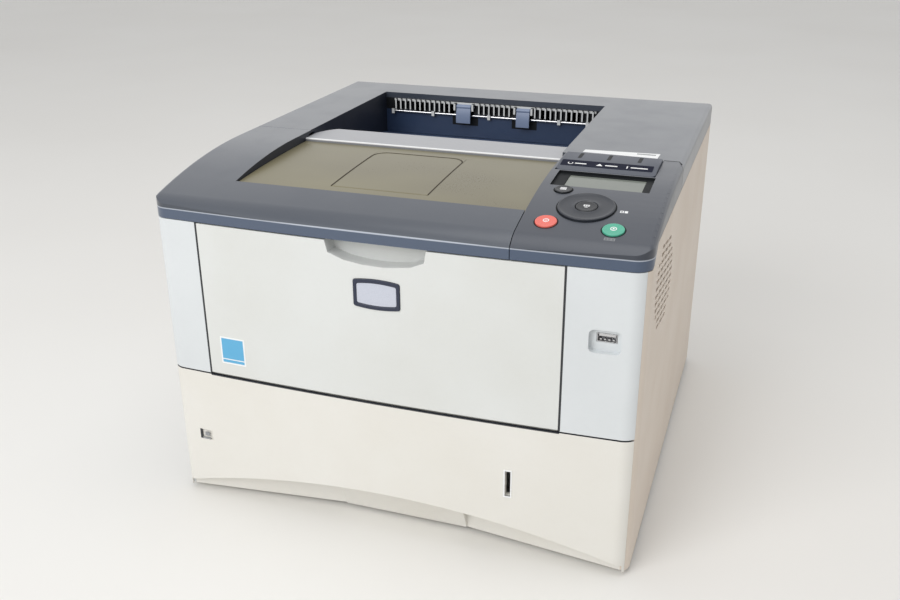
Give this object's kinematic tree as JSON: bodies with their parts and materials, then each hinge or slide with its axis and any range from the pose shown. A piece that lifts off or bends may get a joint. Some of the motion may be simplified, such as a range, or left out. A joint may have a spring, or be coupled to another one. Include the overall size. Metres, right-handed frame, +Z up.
{
  "type": "laser printer",
  "caption": "Desktop A4 laser printer with hinged top cover, fold-down front tray, paper cassette, output well and a key panel.",
  "frame": {"origin": "on the table, below the middle of the printer", "axes": "+X to the printer's right as seen from the front, +Y to the back, +Z up"},
  "size_m": [0.382, 0.3948, 0.283],
  "materials": {
    "white_shell": "fine moulded texture",
    "cream_shell": "fine moulded texture",
    "hood_grey": "fine moulded texture",
    "well_blue_grey": "satin",
    "insert_beige": "smooth, smoked",
    "crest_grey": "satin",
    "panel_grey": "fine moulded texture",
    "black_gloss": "gloss",
    "display_glass": "satin",
    "key_grey": "satin",
    "key_red": "satin",
    "key_green": "satin",
    "flap_grey": "satin",
    "badge_trim": "gloss",
    "bright_steel": "bright",
    "sheet_steel": "zinc plated",
    "rubber": "matt",
    "roller_foam": "matt",
    "white_plastic": "satin",
    "drum_green": "mirror smooth",
    "toner_black": "satin",
    "board_green": "solder mask",
    "fuser_red": "satin",
    "black_plastic": "matt"
  },
  "bodies": {
    "printer": {"base_frame": "sheet_steel", "rubber_feet": "rubber", "left_side_frame": "sheet_steel", "right_side_frame": "sheet_steel", "left_cover": "white_shell", "right_cover": "white_shell", "front_right_cover": "white_shell", "usb_socket": "bright_steel", "top_housing": "hood_grey", "output_tray": "well_blue_grey", "exit_guide": "well_blue_grey", "static_rod": "bright_steel", "control_panel": "panel_grey", "led_bar": "panel_grey", "display": "display_glass", "rear_panel": "white_shell", "power_inlet": "black_plastic", "interface_ports": "bright_steel", "control_board": "board_green", "power_supply": "board_green", "main_motor": "sheet_steel", "fan_frame": "black_plastic", "developer_unit": "black_plastic", "toner_container": "toner_black", "laser_scanner": "black_plastic", "fuser_frame": "sheet_steel"},
    "top_cover": {"top_cover": "hood_grey", "tray_insert": "insert_beige", "crest": "crest_grey"},
    "paper_stopper": {"paper_stopper": "insert_beige"},
    "mp_tray": {"mp_tray": "cream_shell", "badge": "badge_trim"},
    "mp_guide_left": {"mp_guide_left": "white_plastic"},
    "mp_guide_right": {"mp_guide_right": "white_plastic"},
    "cassette": {"cassette_front": "cream_shell", "cassette_tub": "white_plastic"},
    "lift_plate": {"lift_plate": "sheet_steel"},
    "width_guide_left": {"width_guide_left": "white_plastic"},
    "width_guide_right": {"width_guide_right": "white_plastic"},
    "guide_pinion": {"guide_pinion": "white_plastic"},
    "length_guide": {"length_guide": "white_plastic"},
    "rear_cover": {"rear_cover": "white_shell"},
    "menu_key": {"menu_key": "key_grey"},
    "cursor_key": {"cursor_key": "key_grey"},
    "ok_key": {"ok_key": "key_grey"},
    "cancel_key": {"cancel_key": "key_red"},
    "go_key": {"go_key": "key_green"},
    "paper_flap_left": {"paper_flap_left": "flap_grey"},
    "paper_flap_right": {"paper_flap_right": "flap_grey"},
    "power_switch": {"power_switch": "black_plastic"},
    "pickup_roller": {"pickup_roller": "rubber"},
    "feed_roller": {"feed_roller": "rubber"},
    "drum": {"drum": "drum_green"},
    "transfer_roller": {"transfer_roller": "roller_foam"},
    "heat_roller": {"heat_roller": "fuser_red"},
    "pressure_roller": {"pressure_roller": "roller_foam"},
    "exit_rollers": {"exit_rollers": "rubber"},
    "idler_rollers": {"idler_rollers": "white_plastic"},
    "motor_pinion": {"motor_pinion": "white_plastic"},
    "fan_rotor": {"fan_rotor": "black_plastic"}
  },
  "joints": [
    {"name": "top_cover_hinge", "type": "hinge", "parent": "printer", "child": "top_cover", "pos_m": [0, 0.0035, 0.2675], "axis": [-1, 0, 0], "range_deg": [0, 75]},
    {"name": "stopper_hinge", "type": "hinge", "parent": "top_cover", "child": "paper_stopper", "pos_m": [0, -0.141, 0.26872], "axis": [1, 0, 0], "range_deg": [0, 100]},
    {"name": "mp_tray_hinge", "type": "hinge", "parent": "printer", "child": "mp_tray", "pos_m": [0, -0.1903, 0.1255], "axis": [1, 0, 0], "range_deg": [0, 80]},
    {"name": "mp_guide_left_slide", "type": "slide", "parent": "mp_tray", "child": "mp_guide_left", "axis": [1, 0, 0], "range_m": [0, 0.032]},
    {"name": "mp_guide_right_slide", "type": "slide", "parent": "mp_tray", "child": "mp_guide_right", "axis": [1, 0, 0], "range_m": [-0.032, 0]},
    {"name": "cassette_slide", "type": "slide", "parent": "printer", "child": "cassette", "axis": [0, -1, 0], "range_m": [0, 0.3]},
    {"name": "lift_plate_hinge", "type": "hinge", "parent": "cassette", "child": "lift_plate", "pos_m": [0, 0.02, 0.023], "axis": [-1, 0, 0], "range_deg": [0, 12]},
    {"name": "width_guide_left_slide", "type": "slide", "parent": "cassette", "child": "width_guide_left", "axis": [1, 0, 0], "range_m": [0, 0.03]},
    {"name": "width_guide_right_slide", "type": "slide", "parent": "cassette", "child": "width_guide_right", "axis": [1, 0, 0], "range_m": [-0.03, 0]},
    {"name": "guide_pinion_spin", "type": "hinge", "parent": "cassette", "child": "guide_pinion", "pos_m": [0, 0.045, 0.02], "axis": [0, 0, 1], "range_deg": [0, 250]},
    {"name": "length_guide_slide", "type": "slide", "parent": "cassette", "child": "length_guide", "axis": [0, -1, 0], "range_m": [0, 0.06]},
    {"name": "rear_cover_hinge", "type": "hinge", "parent": "printer", "child": "rear_cover", "pos_m": [0, 0.1926, 0.132], "axis": [-1, 0, 0], "range_deg": [0, 85]},
    {"name": "menu_key_press", "type": "slide", "parent": "printer", "child": "menu_key", "axis": [0, 0.122, -0.9925], "range_m": [0, 0.0008], "stiffness_N_per_m": 400, "springref_m": -0.001},
    {"name": "cursor_key_press", "type": "slide", "parent": "printer", "child": "cursor_key", "axis": [0, 0.171, -0.9853], "range_m": [0, 0.0008], "stiffness_N_per_m": 400, "springref_m": -0.001},
    {"name": "ok_key_press", "type": "slide", "parent": "printer", "child": "ok_key", "axis": [0, 0.171, -0.9853], "range_m": [0, 0.0008], "stiffness_N_per_m": 400, "springref_m": -0.001},
    {"name": "cancel_key_press", "type": "slide", "parent": "printer", "child": "cancel_key", "axis": [0, 0.221, -0.9753], "range_m": [0, 0.0008], "stiffness_N_per_m": 400, "springref_m": -0.001},
    {"name": "go_key_press", "type": "slide", "parent": "printer", "child": "go_key", "axis": [0, 0.225, -0.9744], "range_m": [0, 0.0008], "stiffness_N_per_m": 400, "springref_m": -0.001},
    {"name": "paper_flap_left_swing", "type": "hinge", "parent": "printer", "child": "paper_flap_left", "pos_m": [0, 0.1486, 0.271], "axis": [-1, 0, 0], "range_deg": [0, 50]},
    {"name": "paper_flap_right_swing", "type": "hinge", "parent": "printer", "child": "paper_flap_right", "pos_m": [0, 0.1486, 0.271], "axis": [-1, 0, 0], "range_deg": [0, 50]},
    {"name": "power_switch_rock", "type": "hinge", "parent": "printer", "child": "power_switch", "pos_m": [0, 0.1934, 0.069], "axis": [1, 0, 0], "range_deg": [0, 12]},
    {"name": "pickup_roller_spin", "type": "hinge", "parent": "printer", "child": "pickup_roller", "pos_m": [0, -0.13, 0.099], "axis": [1, 0, 0], "continuous": true},
    {"name": "feed_roller_spin", "type": "hinge", "parent": "printer", "child": "feed_roller", "pos_m": [0, -0.118, 0.146], "axis": [1, 0, 0], "continuous": true},
    {"name": "drum_spin", "type": "hinge", "parent": "printer", "child": "drum", "pos_m": [0, -0.04, 0.16], "axis": [1, 0, 0], "continuous": true},
    {"name": "motor_pinion_spin", "type": "hinge", "parent": "printer", "child": "motor_pinion", "pos_m": [0, -0.00849, 0.15444], "axis": [1, 0, 0], "continuous": true},
    {"name": "transfer_roller_spin", "type": "hinge", "parent": "printer", "child": "transfer_roller", "pos_m": [0, -0.04, 0.1367], "axis": [1, 0, 0], "continuous": true},
    {"name": "heat_roller_spin", "type": "hinge", "parent": "printer", "child": "heat_roller", "pos_m": [0, 0.132, 0.172], "axis": [1, 0, 0], "continuous": true},
    {"name": "pressure_roller_spin", "type": "hinge", "parent": "printer", "child": "pressure_roller", "pos_m": [0, 0.132, 0.1437], "axis": [1, 0, 0], "continuous": true},
    {"name": "exit_rollers_spin", "type": "hinge", "parent": "printer", "child": "exit_rollers", "pos_m": [0, 0.1615, 0.257], "axis": [1, 0, 0], "continuous": true},
    {"name": "idler_rollers_spin", "type": "hinge", "parent": "printer", "child": "idler_rollers", "pos_m": [0, 0.1615, 0.2677], "axis": [1, 0, 0], "continuous": true},
    {"name": "fan_spin", "type": "hinge", "parent": "printer", "child": "fan_rotor", "pos_m": [0, -0.112, 0.212], "axis": [1, 0, 0], "continuous": true}
  ],
  "couplings": [
    {"joint": "mp_guide_right_slide", "follows": "mp_guide_left_slide", "ratio": -1},
    {"joint": "width_guide_right_slide", "follows": "width_guide_left_slide", "ratio": -1},
    {"joint": "guide_pinion_spin", "follows": "width_guide_left_slide", "rad_per_m": 142.86},
    {"joint": "motor_pinion_spin", "follows": "drum_spin", "ratio": -3},
    {"joint": "transfer_roller_spin", "follows": "drum_spin", "ratio": -1.875},
    {"joint": "pressure_roller_spin", "follows": "heat_roller_spin", "ratio": -1},
    {"joint": "idler_rollers_spin", "follows": "exit_rollers_spin", "ratio": -0.90909}
  ]
}
